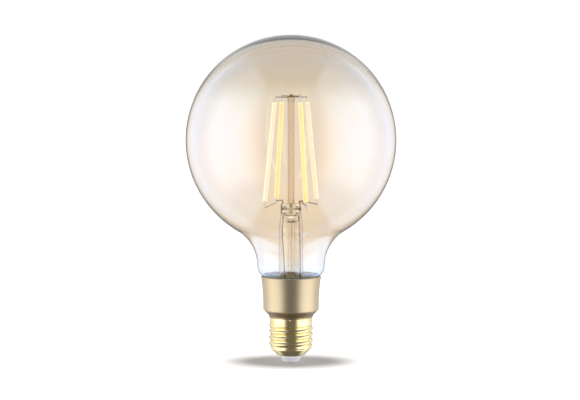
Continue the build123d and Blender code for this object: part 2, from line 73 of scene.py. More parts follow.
# glass envelope: a sphere, a concave shoulder, a neck that closes in, a throat
glass_wall = 0.8
waist_wall = 0.55
crown_wall = 1.8
globe_turns = 236
globe_radius = globe_high.x
globe_z = globe_high.z - globe_radius
shoulder_radius = 25.0
neck_radius = 20.1
neck_roll_radius = 7.0
neck_roll_turn = 60.0
throat_roll_radius = 3.0
throat_foot_z = globe_low.z
shoulder_x = neck_radius + shoulder_radius
neck_z = globe_z - math.sqrt((globe_radius + shoulder_radius) ** 2 - shoulder_x**2)
shoulder_angle = math.degrees(math.atan2(globe_z - neck_z, shoulder_x))
roll_x = neck_radius - neck_roll_radius
throat_x = roll_x + (neck_roll_radius + throat_roll_radius) * math.cos(math.radians(neck_roll_turn))
throat_z = neck_z - (neck_roll_radius + throat_roll_radius) * math.sin(math.radians(neck_roll_turn))
throat_radius = throat_x - throat_roll_radius

# stem
stem_wall = 0.8
stem_radius = 7.1
stem_bore = stem_radius - stem_wall
flare_roll_radius = 6.4
press_start_z = 79.0
press_shape_z = 88.0
press_half_width = 6.2
press_half_depth = 3.2
press_edge_round = 0.9
press_bore_z = 84.3
press_bore_rise = 5.1
press_bore_width = 5.6
# knobs and pinches on the press, as distance from the middle, height, half sizes, relief
press_marks = (
    (3.9, 93.8, 1.5, 0.9, 0.9),
    (0.0, 93.6, 1.3, 1.6, -0.6),
    (3.2, 91.6, 3.0, 0.6, -0.9),
    (4.1, 89.9, 1.2, 0.8, 0.9),
    (2.6, 88.0, 1.6, 0.6, -0.8),
    (0.0, 89.6, 1.3, 1.0, -0.5),
    (0.0, 86.2, 1.5, 1.1, 1.1),
    (0.0, 84.0, 2.6, 0.5, -0.7),
)
exhaust_wall = 0.8
rod_radius = rod_high.x
rod_bead_swell = 0.3
rod_bead_height = 2.2
rod_bead_run = 3.0

# filaments, by azimuth from +X
filament_turn = 29.5
filament_azimuths = {
    "cool_filament_left": 180.0 + filament_turn,
    "warm_filament_left": 90.0 + filament_turn,
    "warm_filament_right": 270.0 + filament_turn,
    "cool_filament_right": filament_turn,
}
filament_top_radius = 11.1
filament_foot_radius = 17.7
filament_top_z = 155.0
filament_foot_z = 96.7
coat_width = 3.0
coat_depth = 2.6
coat_end_round = 0.5
chip_pitch = 2.16

# wires
lead_radius = 0.35
bridge_radius = 0.3
jumper_radius = 0.2
lead_bend = 8.0
hook_bend = 1.9
warm_bridge_z = 159.0
cool_bridge_z = 158.3
board_y = 2.5
lead_foot_z = 36.6
winding_pitch = 0.29

# collar
collar_wall = 1.0
collar_radius = 16.57
collar_foot_z = shell_high.z
collar_flare_z = 34.0
collar_flare_radius = 110.0
collar_foot_radius = 13.1
collar_foot_step = 1.1
collar_shoulder_round = 1.0
collar_rim_round = 0.3
collar_inner_rise = 0.7
collar_step_rise = 1.0
sleeve_radius = 12.35
sleeve_wall = 1.2

# screw shell
sheet = 0.35
crest_radius = 13.1
root_radius = 12.1
thread_pitch = 3.629
thread_start_z = 10.2
thread_end_z = 22.3
thread_run_out = 1.8
crest_left_z = 11.0
skirt_radius = 12.75
bowl_radius = 12.0
bowl_start_z = 8.4
bowl_slope_offset = 3.9
bowl_upper_round = 0.7
bowl_lower_round = 1.6
tip_hole_radius = 6.75
stake_count = 10
stake_z = 26.45
stake_depth = 0.3
stake_spread = 0.42
stake_turn = 0.6
shell_turns = 300

# tip
insulator_radius = 6.65
insulator_foot_radius = 4.7
insulator_cone_height = 3.0
rivet_radius = 1.2
clinch_radius = 2.0
disc_flat_radius = 3.2


# ---- mesh helpers ------------------------------------------------------------------


def arc(cx, cz, radius, start, end, steps):
    """Points of an arc from start to end, in degrees."""
    angles = np.radians(np.linspace(start, end, steps + 1))
    return [(cx + radius * math.cos(a), cz + radius * math.sin(a)) for a in angles]


def line(start, end, steps):
    """Evenly spaced points of a straight run, both ends included."""
    shares = np.linspace(0, 1, steps + 1)
    return [tuple(np.array(start) + share * (np.array(end) - np.array(start))) for share in shares]


def joined(*runs):
    """Runs of points as one outline, without the points that repeat where runs meet."""
    points = []
    for point in [p for run in runs for p in run]:
        if not points or math.dist(points[-1], point) > 1e-6:
            points.append(point)
    return points


def skin(name, rings, loop=False, crease=40.0):
    """Closed mesh through rings of points in mm. With loop the last ring meets the first,
    and otherwise each end closes on its ring's centre."""
    rings = np.asarray(rings, float)
    count, turns = rings.shape[:2]
    verts = [tuple(p * MM) for ring in rings for p in ring]
    faces = []
    for row in range(count if loop else count - 1):
        a, b = row * turns, (row + 1) % count * turns
        for step in range(turns):
            after = (step + 1) % turns
            faces.append((a + step, a + after, b + after, b + step))
    if not loop:
        for row in (0, count - 1):
            pole = len(verts)
            verts.append(tuple(rings[row].mean(axis=0) * MM))
            for step in range(turns):
                faces.append((row * turns + step, row * turns + (step + 1) % turns, pole))
    mesh = bpy.data.meshes.new(name)
    mesh.from_pydata(verts, [], faces)
    work = bmesh.new()
    work.from_mesh(mesh)
    bmesh.ops.recalc_face_normals(work, faces=work.faces)
    work.to_mesh(mesh)
    work.free()
    mesh.polygons.foreach_set("use_smooth", [True] * len(mesh.polygons))
    mesh.set_sharp_from_angle(angle=math.radians(crease))
    made = bpy.data.objects.new(name, mesh)
    bpy.context.scene.collection.objects.link(made)
    return made


def circle(turns):
    """Unit circle as an array of (cosine, sine)."""
    angles = np.linspace(0, 2 * math.pi, turns, endpoint=False)
    return np.stack([np.cos(angles), np.sin(angles)], axis=1)


def turned_rings(outline, turns):
    """Rings of an outline of (radius, height) points turned about the lamp's axis."""
    unit = circle(turns)
    return [np.column_stack([unit * radius, np.full(turns, height)]) for radius, height in outline]


def placed(piece, slot, material, *nodes):
    """Give a piece its body and material, and let it stand for CAD nodes. The slot is not used."""
    piece.data.materials.append(material)
    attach(piece, "root")
    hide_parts(*nodes)
    return piece


def rounded_path(points, bends, arc_steps=8):
    """Straight runs joined by tangent arcs, as a list of vectors."""
    corners = [Vector(p) for p in points]
    path = [corners[0]]
    for before, corner, after, radius in zip(corners, corners[1:], corners[2:], bends):
        inward = (before - corner).normalized()
        outward = (after - corner).normalized()
        half_turn = (math.pi - inward.angle(outward)) / 2
        reach = radius * math.tan(half_turn)
        centre = corner + (inward + outward).normalized() * radius / math.cos(half_turn)
        first = corner + inward * reach - centre
        last = corner + outward * reach - centre
        for step in range(arc_steps + 1):
            path.append(centre + first.slerp(last, step / arc_steps) * radius)
    path.append(corners[-1])
    return [p if isinstance(p, Vector) else Vector(p) for p in path]


def wire_rings(path, radius, turns=20):
    """Round rings along a path, turned as little as possible from one to the next."""
    side = (path[1] - path[0]).orthogonal().normalized()
    rings = []
    for index, point in enumerate(path):
        ahead = path[min(index + 1, len(path) - 1)] - path[max(index - 1, 0)]
        ahead.normalize()
        side = (side - ahead * side.dot(ahead)).normalized()
        up = ahead.cross(side)
        rings.append([point + (side * c + up * s) * radius for c, s in circle(turns)])
    return rings


def polar(radius, azimuth, z):
    """A point by its distance from the axis, azimuth in degrees and height."""
    angle = math.radians(azimuth)
    return Vector((radius * math.cos(angle), radius * math.sin(angle), z))


# ---- node helpers ------------------------------------------------------------------


def add(tree, kind, inputs=None, **settings):
    """Add a node, set its properties, and set or link its inputs. Returns its first output,
    if it has one."""
    node = tree.nodes.new("ShaderNode" + kind)
    for key, value in settings.items():
        setattr(node, key, value)
    for key, value in (inputs or {}).items():
        if isinstance(value, bpy.types.NodeSocket):
            tree.links.new(value, node.inputs[key])
        else:
            node.inputs[key].default_value = value
    return node.outputs[0] if node.outputs else None


def maths(tree, operation, first, second=0.0):
    """A Math node."""
    return add(tree, "Math", {0: first, 1: second}, operation=operation)


def times(tree, *values):
    """Product of values."""
    product = values[0]
    for value in values[1:]:
        product = maths(tree, "MULTIPLY", product, value)
    return product


def highest(tree, *values):
    """Highest of values."""
    top = values[0]
    for value in values[1:]:
        top = maths(tree, "MAXIMUM", top, value)
    return top


def axes(tree):
    """The point's X, Y and Z in metres, in the row frame."""
    return add(tree, "SeparateXYZ", {"Vector": place(tree)}).node.outputs


def ranged(tree, value, low, high, to_low=0.0, to_high=1.0, smooth=False):
    """A value's way from low to high, mapped to another range and clamped."""
    kind = "SMOOTHSTEP" if smooth else "LINEAR"
    inputs = {
        "Value": value,
        "From Min": low,
        "From Max": high,
        "To Min": to_low,
        "To Max": to_high,
    }
    return add(tree, "MapRange", inputs, interpolation_type=kind)


def place(tree):
    """The point in metres, in the row frame."""
    return add(tree, "TexCoord").node.outputs["Object"]


def noise(tree, scale, detail=2.0, stretch=None):
    """Noise from 0 to 1 at so many cells per metre, with an optional stretch of its axes."""
    where = place(tree)
    if stretch:
        where = add(tree, "VectorMath", {0: where, 1: stretch}, operation="MULTIPLY")
    return add(tree, "TexNoise", {"Vector": where, "Scale": scale, "Detail": detail})


def blend(tree, share, first, second):
    """Colour from first to second by share."""
    node = tree.nodes.new("ShaderNodeMix")
    node.data_type = "RGBA"
    for index, value in ((0, share), (6, first), (7, second)):
        socket = node.inputs[index]
        if isinstance(value, bpy.types.NodeSocket):
            tree.links.new(value, socket)
        else:
            socket.default_value = (*value, 1.0) if isinstance(value, tuple) else value
    return node.outputs[2]


def bump(tree, height, strength, distance=0.0001):
    """A bump normal from a height."""
    return add(tree, "Bump", {"Height": height, "Strength": strength, "Distance": distance})


def material(name):
    """A new material with its node tree and its Principled shader."""
    made = bpy.data.materials.new(name)
    made.use_nodes = True
    return made, made.node_tree, made.node_tree.nodes["Principled BSDF"]


def feed(tree, shader, **inputs):
    """Set or link a shader's sockets, named with underscores for spaces."""
    for key, value in inputs.items():
        socket = shader.inputs[key.replace("_", " ")]
        if isinstance(value, bpy.types.NodeSocket):
            tree.links.new(value, socket)
        elif isinstance(value, tuple) and len(value) == 3 and len(socket.default_value) == 4:
            socket.default_value = (*value, 1.0)
        else:
            socket.default_value = value


def mottled(name, first, second, rough, scale, relief, metallic=0.0, **more):
    """A plain surface: two close colours in patches, uneven gloss and fine relief."""
    made, tree, shader = material(name)
    patches = noise(tree, scale * 0.25, 3.0)
    grain = noise(tree, scale, 4.0)
    low, high = rough
    feed(
        tree,
        shader,
        Base_Color=blend(tree, ranged(tree, patches, 0.35, 0.65), first, second),
        Roughness=ranged(tree, grain, 0.3, 0.7, low, high),
        Normal=bump(tree, grain, relief),
        Metallic=metallic,
        **more,
    )
    return made


# ---- materials ---------------------------------------------------------------------

# reach, soft edge and top in mm, and flatness, of the oval that shades the floor
shade_reach = 38.0
shade_edge = 3.0
shade_top_z = 90.0
shade_squash = 1.6

# light that lamps send through plain glass, and through the oval that shades the floor
clear_pass = (0.98, 0.98, 0.97)
shade_pass = (0.05, 0.05, 0.05)

# painted olive shade that darkens the press's pinches
painted_pinch_shade = (0.46, 0.43, 0.29)

# light that one wall of the globe lets through, by height above the tip in mm
amber_tints = {
    54.0: (0.978, 0.97, 0.968),
    57.0: (0.962, 0.932, 0.905),
    60.5: (0.965, 0.905, 0.835),
    64.0: (0.985, 0.9, 0.79),
    67.0: (0.985, 0.905, 0.79),
    71.0: (1.0, 0.93, 0.81),
    73.0: (0.995, 0.885, 0.75),
    82.0: (0.995, 0.88, 0.73),
    90.0: (0.985, 0.875, 0.72),
    132.0: (0.97, 0.88, 0.78),
    156.0: (0.93, 0.86, 0.75),
    168.0: (0.86, 0.785, 0.67),
    182.0: (0.84, 0.775, 0.69),
}


def lamps_pass(made, tint=clear_pass):
    """Let the lamps' light through glass, so that it casts no dark shadow."""
    tree = made.node_tree
    output = tree.nodes["Material Output"].inputs["Surface"]
    paths = add(tree, "LightPath").node.outputs
    clear = add(tree, "BsdfTransparent")
    feed(tree, clear.node, Color=tint)
    shown = tree.nodes["Principled BSDF"].outputs[0]
    mixed = add(tree, "MixShader", {0: paths["Is Shadow Ray"], 1: shown, 2: clear})
    tree.links.new(mixed, output)
    return made


def shoulder_shade(tree):
    """How the envelope holds lamp light back: an oval round the neck does, the rest doesn't."""
    parts = axes(tree)
    wide = maths(tree, "POWER", parts["X"], 2.0)
    deep = maths(tree, "POWER", times(tree, parts["Y"], shade_squash), 2.0)
    reach = maths(tree, "SQRT", maths(tree, "ADD", wide, deep))
    inside = ranged(tree, reach, shade_reach * MM, (shade_reach - shade_edge) * MM)
    low = ranged(tree, parts["Z"], (shade_top_z + 2.0) * MM, shade_top_z * MM)
    return blend(tree, times(tree, inside, low), clear_pass, shade_pass)


def amber_glass():
    """Blown glass with an amber coat that is densest at the crown and stops at the neck."""
    made, tree, shader = material("amber_glass")
    height = axes(tree)["Z"]
    drift = ranged(tree, noise(tree, 18.0, 1.0), 0.3, 0.7, -2.0 * MM, 2.0 * MM)
    share = ranged(tree, maths(tree, "ADD", height, drift), 0.0, globe_high.z * MM)
    tint = add(tree, "ValToRGB", {"Fac": share})
    ramp = tint.node.color_ramp
    while len(ramp.elements) < len(amber_tints):
        ramp.elements.new(0.5)
    for stop, (z, colour) in zip(ramp.elements, amber_tints.items()):
        stop.position = z / globe_high.z
        stop.color = (*colour, 1.0)
    waves = noise(tree, 22.0, 1.0)
    feed(
        tree,
        shader,
        Base_Color=tint,
        Roughness=ranged(tree, waves, 0.3, 0.7, 0.0, 0.006),
        Normal=bump(tree, waves, 0.08, 0.0004),
        IOR=1.5,
        Transmission_Weight=1.0,
    )
    return lamps_pass(made, shoulder_shade(tree))


def mark_share(tree, raised):
    """One on the press's raised lumps, or on its pinches, and nought elsewhere."""
    parts = axes(tree)
    across = maths(tree, "ABSOLUTE", parts["X"])
    share = None
    for middle, z, width, height, relief in press_marks:
        if (relief > 0) == raised:
            beside = maths(tree, "DIVIDE", maths(tree, "SUBTRACT", across, middle * MM), width * MM)
            above = maths(tree, "DIVIDE", maths(tree, "SUBTRACT", parts["Z"], z * MM), height * MM)
            squared = maths(tree, "ADD", times(tree, beside, beside), times(tree, above, above))
            mark = ranged(tree, squared, 1.6, 0.6, smooth=True)
            share = highest(tree, share, mark) if share else mark
    return share


def tube_glass(name, first, second, edge, edge_shade_start, edge_shade_end, painted_lump_highlight=0.0):
    """Tube glass with faint draw lines along its length, and painted shade that deepens its colour
    towards its edges. With a share given, the press's lumps turn partly white, as painted
    highlights where the lamps light them, and its pinches get painted olive shade."""
    made, tree, shader = material(name)
    lines = noise(tree, 900.0, 1.0, (1.0, 1.0, 0.02))
    tone = ranged(tree, noise(tree, 60.0), 0.3, 0.7)
    # painted shade: the colour deepens towards the edges as the faces turn away, and eases back
    # right at the rim
    facing = add(tree, "LayerWeight", {"Blend": 0.5}).node.outputs["Facing"]
    rim = ranged(tree, facing, edge_shade_end, edge_shade_end + 0.2, smooth=True)
    facing = maths(tree, "SUBTRACT", ranged(tree, facing, edge_shade_start, edge_shade_end, smooth=True), rim)
    colour = blend(tree, facing, blend(tree, tone, first, second), edge)
    passing = 1.0
    if painted_lump_highlight:
        # painted olive shade on the pinches, and partly white lumps that the lamps light as painted
        # highlights
        colour = blend(tree, mark_share(tree, False), colour, painted_pinch_shade)
        passing = ranged(tree, mark_share(tree, True), 0.0, 1.0, 1.0, 1.0 - painted_lump_highlight)
    feed(
        tree,
        shader,
        Base_Color=colour,
        Roughness=ranged(tree, lines, 0.3, 0.7, 0.0, 0.02),
        Normal=bump(tree, lines, 0.12),
        IOR=1.5,
        Transmission_Weight=passing,
    )
    return lamps_pass(made)


def phosphor(name, first, second, painted_glow_colour, glow):
    """Silicone with phosphor: a faint painted glow in rows at the chip pitch brightens it, and its
    surface is slightly uneven.
    """
    made, tree, shader = material(name)
    height = axes(tree)["Z"]
    # painted glow: emission in rows at the chip pitch, as if the chips shone through the coat
    painted_glow_rows = maths(tree, "SINE", times(tree, height, 2 * math.pi / (chip_pitch * MM)))
    painted_glow_rows = ranged(tree, painted_glow_rows, -1.0, 1.0, 0.8, 1.0)
    lumps = noise(tree, 700.0, 2.0)
    grains = noise(tree, 9000.0, 2.0)
    feed(
        tree,
        shader,
        Base_Color=blend(tree, ranged(tree, lumps, 0.35, 0.65), first, second),
        Roughness=ranged(tree, grains, 0.3, 0.7, 0.32, 0.5),
        Normal=bump(tree, lumps, 0.2, 0.0002),
        Emission_Color=painted_glow_colour,
        Emission_Strength=times(tree, painted_glow_rows, glow),
        Subsurface_Weight=0.15,
        Subsurface_Radius=(0.001, 0.0007, 0.0004),
    )
    return made


def champagne_paint():
    """Satin metallic paint: tiny bright flakes, a faint orange-peel, a soft clear coat, and painted
    shade, dark brown, on the slope at its foot.
    """
    made, tree, shader = material("champagne_shell")
    flakes = add(tree, "TexVoronoi", {"Vector": place(tree), "Scale": 9000.0})
    flakes = add(tree, "SeparateXYZ", {"Vector": flakes.node.outputs["Color"]})
    peel = noise(tree, 1800.0, 2.0)
    tone = noise(tree, 90.0, 3.0)
    base = blend(tree, ranged(tree, tone, 0.3, 0.7), (0.52, 0.425, 0.275), (0.55, 0.45, 0.30))
    sparkle = ranged(tree, flakes, 0.7, 1.0, 0.0, 0.5)
    height = axes(tree)["Z"]
    # painted shade: below these heights the paint turns dark brown, on the downward-facing slope at
    # the collar's foot
    painted_shade_top, painted_shade_foot = (collar_foot_z + 4.6) * MM, (collar_foot_z + 3.2) * MM
    slope = ranged(tree, height, painted_shade_top, painted_shade_foot, smooth=True)
    paint = blend(tree, sparkle, base, (0.72, 0.62, 0.46))
    feed(
        tree,
        shader,
        Base_Color=blend(tree, slope, paint, (0.30, 0.22, 0.13)),
        Metallic=0.9,
        Roughness=ranged(tree, flakes, 0.0, 1.0, 0.34, 0.42),
        Normal=bump(tree, peel, 0.06),
        Coat_Weight=0.15,
        Coat_Roughness=0.3,
    )
    return made


def brass():
    """Bright drawn brass: fine lines round the shell and faint tarnish."""
    made, tree, shader = material("brass_shell")
    drawn = noise(tree, 1500.0, 3.0, (0.15, 0.15, 6.0))
    tarnish = noise(tree, 160.0, 4.0)
    patches = ranged(tree, tarnish, 0.4, 0.75)
    feed(
        tree,
        shader,
        Base_Color=blend(tree, patches, (0.92, 0.78, 0.43), (0.84, 0.68, 0.35)),
        Metallic=1.0,
        Roughness=ranged(tree, tarnish, 0.3, 0.7, 0.16, 0.26),
        Normal=bump(tree, drawn, 0.05),
    )
    return made


def solder_mask(name, first, second):
    """Board lacquer over a grid of copper tracks that stand up a little."""
    made, tree, shader = material(name)
    tracks = add(tree, "TexBrick", {"Vector": place(tree), "Scale": 260.0, "Mortar Size": 0.03})
    tracks = tracks.node.outputs["Fac"]
    weave = noise(tree, 3000.0, 2.0)
    feed(
        tree,
        shader,
        Base_Color=blend(tree, tracks, first, second),
        Roughness=ranged(tree, weave, 0.3, 0.7, 0.22, 0.36),
        Normal=bump(tree, tracks, 0.3),
    )
    return made


def capacitor_sleeve():
    """Shrunk film with a paler stripe down one side."""
    left_edge, right_edge = (-6.2 * MM, -6.0 * MM), (-4.2 * MM, -4.4 * MM)
    made, tree, shader = material("capacitor_sleeve")
    across = axes(tree)["X"]
    stripe = times(tree, ranged(tree, across, *left_edge), ranged(tree, across, *right_edge))
    creases = noise(tree, 1200.0, 3.0)
    feed(
        tree,
        shader,
        Base_Color=blend(tree, stripe, (0.03, 0.04, 0.10), (0.45, 0.47, 0.52)),
        Roughness=ranged(tree, creases, 0.3, 0.7, 0.2, 0.32),
        Normal=bump(tree, creases, 0.1),
    )
    return made


def enamelled_copper():
    """Close turns of enamelled wire."""
    made, tree, shader = material("copper_wire")
    height = axes(tree)["Z"]
    turns = maths(tree, "SINE", times(tree, height, 2 * math.pi / (winding_pitch * MM)))
    tone = noise(tree, 900.0, 2.0)
    shine = ranged(tree, tone, 0.3, 0.7)
    feed(
        tree,
        shader,
        Base_Color=blend(tree, shine, (0.55, 0.20, 0.07), (0.70, 0.30, 0.12)),
        Metallic=1.0,
        Roughness=ranged(tree, tone, 0.3, 0.7, 0.18, 0.3),
        Normal=bump(tree, turns, 0.4),
    )
    return made


materials = {
    "amber_glass": amber_glass(),
    "clear_glass": tube_glass(
        "clear_glass", (0.99, 0.985, 0.97), (0.97, 0.965, 0.945), (0.74, 0.72, 0.66), 0.2, 0.6, 0.85
    ),
    "nickel_wire": mottled(
        "nickel_wire", (0.40, 0.20, 0.10), (0.55, 0.31, 0.17), (0.28, 0.45), 6000.0, 0.15, 1.0
    ),
    # filament coats: a faint painted glow (emission) brightens them
    "warm_phosphor": phosphor(
        "warm_phosphor", (0.95, 0.80, 0.40), (0.92, 0.74, 0.34), (1.0, 0.81, 0.46), 0.72
    ),
    "cool_phosphor": phosphor(
        "cool_phosphor", (0.95, 0.86, 0.68), (0.93, 0.82, 0.62), (1.0, 0.83, 0.68), 0.70
    ),
    "filament_substrate": mottled(
        "filament_substrate", (0.78, 0.78, 0.74), (0.84, 0.84, 0.80), (0.4, 0.6), 5000.0, 0.2
    ),
    "led_chip": mottled(
        "led_chip", (0.20, 0.26, 0.45), (0.30, 0.36, 0.55), (0.08, 0.2), 9000.0, 0.05
    ),
    "champagne_shell": champagne_paint(),
    # cement: a faint painted glow (emission) lightens it where it lies in shade inside the collar's
    # rim
    "cement": mottled(
        "cement", (0.58, 0.54, 0.32), (0.68, 0.64, 0.42), (0.7, 0.95), 1500.0, 0.8,
        Emission_Color=(0.75, 0.72, 0.42), Emission_Strength=0.16,
    ),
    "brass_shell": brass(),
    # insulator: a faint painted glow (emission) lightens it where it stands in the floor's shadow
    "pale_insulator": mottled(
        "pale_insulator", (0.84, 0.84, 0.93), (0.88, 0.88, 0.97), (0.12, 0.22), 900.0, 0.05,
        Coat_Weight=0.4, Coat_Roughness=0.08, Emission_Color=(0.9, 0.9, 1.0), Emission_Strength=0.1,
    ),
    "contact_metal": mottled(
        "contact_metal", (0.62, 0.62, 0.60), (0.72, 0.72, 0.71), (0.22, 0.42), 2500.0, 0.12, 1.0
    ),
    "green_board": solder_mask("green_board", (0.02, 0.16, 0.08), (0.04, 0.26, 0.13)),
    "black_board": solder_mask("black_board", (0.02, 0.02, 0.025), (0.05, 0.05, 0.06)),
    "black_epoxy": mottled(
        "black_epoxy", (0.025, 0.025, 0.028), (0.04, 0.04, 0.045), (0.4, 0.6), 4000.0, 0.4
    ),
    "yellow_film": mottled(
        "yellow_film", (0.70, 0.46, 0.05), (0.80, 0.56, 0.09), (0.15, 0.3), 800.0, 0.1
    ),
    "capacitor_sleeve": capacitor_sleeve(),
    "ferrite": mottled(
        "ferrite", (0.05, 0.05, 0.055), (0.09, 0.09, 0.10), (0.45, 0.7), 3500.0, 0.5
    ),
    "copper_wire": enamelled_copper(),
    "resistor_body": mottled(
        "resistor_body", (0.16, 0.30, 0.22), (0.22, 0.38, 0.29), (0.4, 0.6), 2500.0, 0.4
    ),
    "tinned_steel": mottled(
        "tinned_steel", (0.66, 0.67, 0.68), (0.76, 0.77, 0.78), (0.16, 0.34), 1800.0, 0.1, 1.0
    ),
}
pin_material = mottled(
    "pin_metal", (0.80, 0.54, 0.32), (0.88, 0.64, 0.42), (0.3, 0.5), 6000.0, 0.15, 1.0
)
# rod: deep brown painted shade along its edges
rod_material = tube_glass(
    "rod_glass", (0.90, 0.79, 0.65), (0.87, 0.76, 0.61), (0.28, 0.18, 0.09), 0.1, 0.25
)


# ---- glass pieces ------------------------------------------------------------------


def glass_line(inset):
    """The envelope's meridian from the pole to the foot of the throat, set inwards. Blown
    glass is thickest at the crown and thinnest round the middle."""
    angles = np.radians(np.linspace(90, -shoulder_angle, 141))
    lower = np.clip(-np.degrees(angles) / shoulder_angle, 0.0, 1.0)
    wall = waist_wall + (crown_wall - waist_wall) * np.clip(np.sin(angles), 0.0, 1.0) ** 4
    wall += (glass_wall - waist_wall) * lower**2
    reach = globe_radius - wall * inset / glass_wall
    sphere = list(zip(reach * np.cos(angles), globe_z + reach * np.sin(angles)))
    shoulder = arc(shoulder_x, neck_z, shoulder_radius + inset, 180 - shoulder_angle, 180, 36)
    roll = arc(roll_x, neck_z, neck_roll_radius - inset, 0, -neck_roll_turn, 16)
    throat = arc(throat_x, throat_z, throat_roll_radius + inset, 180 - neck_roll_turn, 180, 10)
    foot = (throat_radius - inset, throat_foot_z)
    return joined(sphere[1:], shoulder, roll, throat, line(throat[-1], foot, 6))


def glass_globe():
    """Blown envelope with both of its faces."""
    outline = glass_line(0) + glass_line(glass_wall)[::-1]
    made = skin("globe_glass", turned_rings(outline, globe_turns))
    return placed(made, "amber_glass", materials["amber_glass"], "glass_globe")


def press_outline(unit, z, inset=0.0):
    """The stem's section at a height: round below, flattened to a blade in the press."""
    z = np.full(len(unit), z) if np.ndim(z) == 0 else z
    flat = np.clip((z - press_start_z) / (press_shape_z - press_start_z), 0.0, 1.0)
    flat = flat * flat * (3 - 2 * flat)
    half_width = stem_radius + flat * (press_half_width - stem_radius) - inset
    half_depth = stem_radius + flat * (press_half_depth - stem_radius) - inset
    bent = np.sign(unit) * np.abs(unit) ** (2.0 / (2.0 + 1.4 * flat))[:, None]
    return bent * np.column_stack([half_width, half_depth])


def press_ring(z, unit):
    """Outer ring of the stem, with the knobs and pinches that the jaws leave."""
    ring = press_outline(unit, z)
    for middle, height, width, depth, relief in press_marks:
        reach = ((np.abs(ring[:, 0]) - middle) / width) ** 2 + ((z - height) / depth) ** 2
        ring[:, 1] += np.sign(ring[:, 1]) * relief * np.exp(-reach)
    return np.column_stack([ring, np.full(len(unit), z)])


def bore_roof(x):
    """Height of the hollow's roof under the press, which hangs down in the middle."""
    return press_bore_z + press_bore_rise * np.minimum((x / press_bore_width) ** 2, 1.0)


def stem():
    """Stem tube with its flared foot, the flattened press and the hollow under it."""
    turns = 176
    unit = circle(turns)
    top = stem_high.z
    rings = []
    for angle in np.radians(np.linspace(80, 0, 7)):
        ring = press_ring(top, unit)
        inset = press_edge_round * (1 - math.cos(angle))
        scale = 1 - inset / np.maximum(np.linalg.norm(ring[:, :2], axis=1), 1e-6)
        ring[:, :2] *= scale[:, None]
        ring[:, 2] = top - press_edge_round * (1 - math.sin(angle))
        rings.append(ring)
    heights = np.linspace(top - press_edge_round, press_start_z, 100)[1:]
    rings += [press_ring(z, unit) for z in heights]
    flare_x = stem_radius + flare_roll_radius
    flare_z = throat_foot_z + flare_roll_radius
    rim_z = throat_foot_z - stem_wall
    outline = joined(
        line((stem_radius, press_start_z), (stem_radius, flare_z), 30)[1:],
        arc(flare_x, flare_z, flare_roll_radius, 180, 270, 16),
        [(throat_radius, throat_foot_z), (throat_radius, rim_z)],
        arc(flare_x, flare_z, flare_roll_radius + stem_wall, 270, 180, 16),
        line((stem_bore, flare_z), (stem_bore, press_start_z), 30),
    )
    rings += turned_rings(outline, turns)
    for share in np.linspace(0, 1, 30)[1:]:
        z = press_start_z + share * (press_bore_z - press_start_z)
        for _ in range(3):
            ring = press_outline(unit, z, stem_wall)
            z = press_start_z + share * (bore_roof(ring[:, 0]) - press_start_z)
        rings.append(np.column_stack([ring, z]))
    for share in np.linspace(1, 0.04, 24)[1:]:
        rings.append(np.column_stack([ring * share, bore_roof(ring[:, 0] * share)]))
    made = skin("stem_glass", rings)
    return placed(made, "clear_glass", materials["clear_glass"], "stem_flare")


def exhaust_tube():
    """Narrow tube from the press's hollow down to its melted, closed tip."""
    turns = 64
    centre = (exhaust_low + exhaust_high) / 2
    radius = (exhaust_high.x - exhaust_low.x) / 2
    tip_z = exhaust_low.z + radius

    def wall(size):
        """Rings of one face, from the tip up to the hollow's roof."""
        tip = arc(0, tip_z, size, -88, 0, 12)
        run = line((size, tip_z), (size, press_start_z), 30)[1:]
        rings = turned_rings(tip + run, turns)
        for ring in rings:
            ring[:, :2] += (centre.x, centre.y)
        roof = rings[-1].copy()
        roof[:, 2] = np.minimum(bore_roof(roof[:, 0]) - 0.05, press_bore_z + 0.3)
        return rings + [roof]

    rings = wall(radius) + wall(radius - exhaust_wall)[::-1]
    made = skin("exhaust_glass", rings)
    return placed(made, "clear_glass", materials["clear_glass"], "exhaust_tube")


def support_rod():
    """Glass rod with a melted bead at its top that holds the bridge wires."""
    foot = rod_low.z
    top = rod_high.z
    bead_z = top - rod_bead_height
    run_z = bead_z - rod_bead_run
    outline = line((rod_radius, foot), (rod_radius, run_z), 40)
    for share in np.linspace(0, 1, 14)[1:]:
        swell = rod_bead_swell * math.sin(math.pi / 2 * share) ** 2
        outline.append((rod_radius + swell, run_z + rod_bead_run * share))
    head = rod_radius + rod_bead_swell
    for angle in np.radians(np.linspace(0, 86, 16)[1:]):
        outline.append((head * math.cos(angle), bead_z + (top - bead_z) * math.sin(angle)))
    rings = turned_rings(outline, 64)
    return placed(skin("rod_glass", rings), "clear_glass", rod_material, "support_rod")


# ---- filaments and wires -----------------------------------------------------------


def strip_radius(z):
    """Distance of a filament's middle line from the axis at a height."""
    share = (z - filament_foot_z) / (filament_top_z - filament_foot_z)
    return filament_foot_radius + share * (filament_top_radius - filament_foot_radius)


